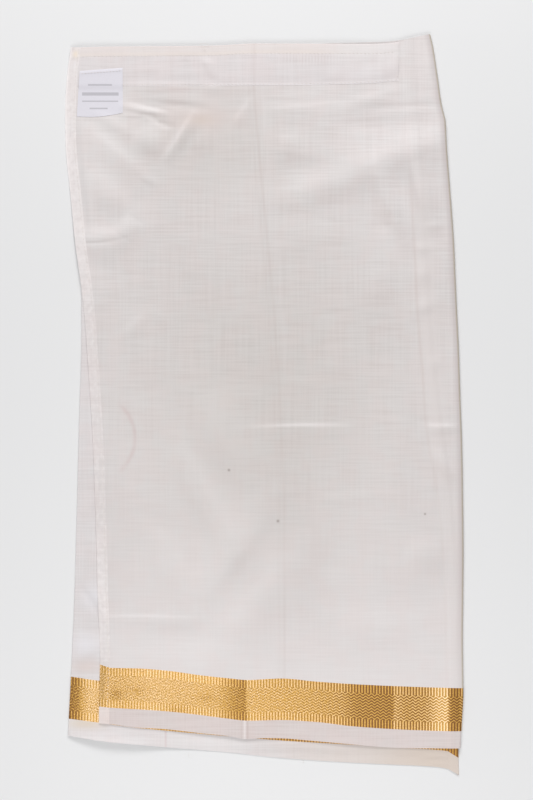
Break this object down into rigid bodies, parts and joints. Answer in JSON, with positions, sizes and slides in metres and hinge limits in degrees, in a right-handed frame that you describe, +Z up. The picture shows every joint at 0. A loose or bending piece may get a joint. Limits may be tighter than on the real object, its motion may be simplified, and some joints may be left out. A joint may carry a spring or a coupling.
{
  "type": "child's wrap dhoti, laid flat",
  "caption": "Length of cream silk wound into a flat wrap skirt: hemmed ends, sewn waistband, blank care label and a woven gold border above the bottom selvedge.",
  "frame": {"origin": "on the surface the garment lies on, under the middle of its outline", "axes": "+Y towards the waistband, +X towards the plain right fold as seen from above, +Z up out of the surface"},
  "size_m": [0.319, 0.5932, 0.0066],
  "materials": {
    "silk": "plain-woven cream art silk, faint slubs, soft sheen",
    "zari": "woven gold thread, fine zigzag rows, metallic sheen",
    "label": "white satin tape, blank but for plain grey bars"
  },
  "bodies": {
    "root": {"back_panel": "silk", "back_border": "zari", "back_selvedge": "silk", "inner_panel": "silk", "inner_border": "zari", "inner_selvedge": "silk", "inner_end_hem_panel": "silk", "inner_end_hem_border": "zari", "inner_end_hem_selvedge": "silk", "front_panel": "silk", "front_border": "zari", "front_selvedge": "silk", "front_hem_panel": "silk", "front_hem_border": "zari", "front_hem_selvedge": "silk", "waistband": "silk", "care_label": "label"}
  },
  "joints": []
}
